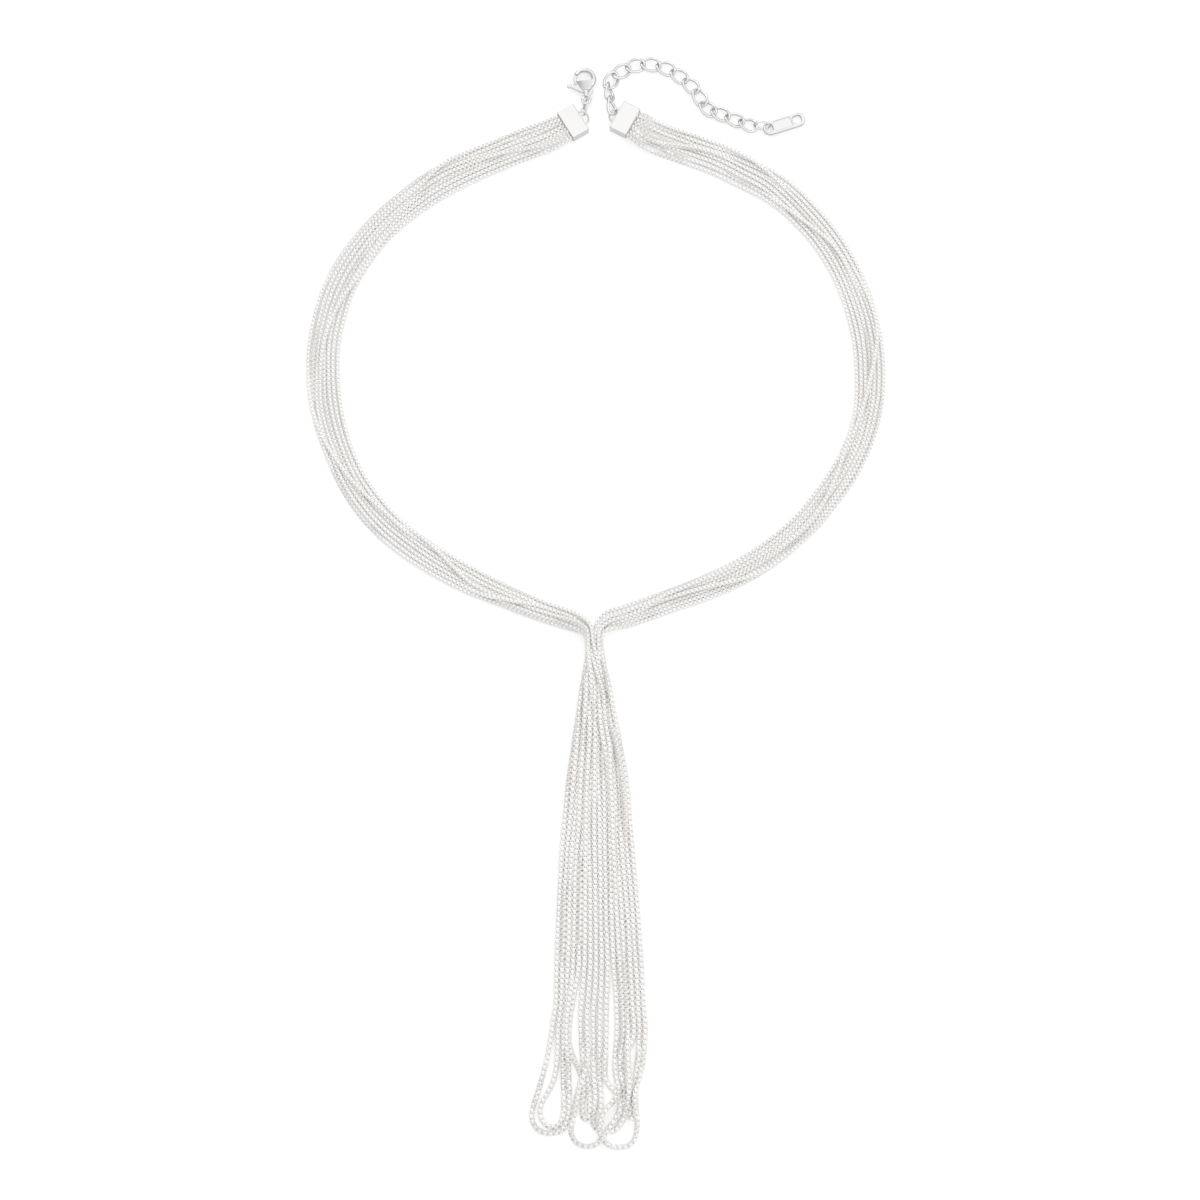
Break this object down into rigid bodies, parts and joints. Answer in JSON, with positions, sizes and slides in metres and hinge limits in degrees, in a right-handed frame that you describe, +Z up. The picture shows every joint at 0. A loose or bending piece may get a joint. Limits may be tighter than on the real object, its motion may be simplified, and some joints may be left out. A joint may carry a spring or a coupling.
{
  "type": "tassel necklace",
  "caption": "Multi-strand box chain necklace in a loose loop, drawn through a narrow neck into a looped chain tassel, with box end caps, lobster clasp, curb extender and end tag",
  "frame": {"origin": "centre of the bounding box, on the surface that the necklace lies on", "axes": "+Z up from the surface, +Y from the tassel towards the clasp, +X to the right as seen in the picture; the necklace lies flat"},
  "size_m": [0.1466, 0.2822, 0.0046],
  "materials": {
    "chain_metal": "polished silver-tone steel box chain",
    "cap_metal": "bright polished silver-tone sheet",
    "clasp_metal": "polished silver-tone casting",
    "lever_metal": "polished silver-tone stamping",
    "link_metal": "polished silver-tone wire",
    "tag_metal": "polished silver-tone plate, bare"
  },
  "bodies": {
    "necklace": {"left_end_cap": "cap_metal", "right_end_cap": "cap_metal", "left_band": "chain_metal", "right_band": "chain_metal", "tassel": "chain_metal", "clasp_body": "clasp_metal", "clasp_rivet": "clasp_metal", "connector_link_1": "link_metal", "connector_link_2": "link_metal", "extender_link_01": "link_metal", "extender_link_02": "link_metal", "extender_link_03": "link_metal", "extender_link_04": "link_metal", "extender_link_05": "link_metal", "extender_link_06": "link_metal", "extender_link_07": "link_metal", "extender_link_08": "link_metal", "extender_link_09": "link_metal", "extender_link_10": "link_metal", "extender_link_11": "link_metal", "extender_link_12": "link_metal", "extender_link_13": "link_metal", "extender_link_14": "link_metal", "tag_ring": "link_metal", "tag": "tag_metal"},
    "lever": {"clasp_lever": "lever_metal"}
  },
  "joints": [
    {"name": "lever_pivot", "type": "hinge", "parent": "necklace", "child": "lever", "pos_m": [-0.00255, 0.13214, 0.0011], "axis": [0, 0, 1], "range_deg": [0, 28], "stiffness_Nm_per_rad": 0.002, "springref_deg": -8.59}
  ]
}
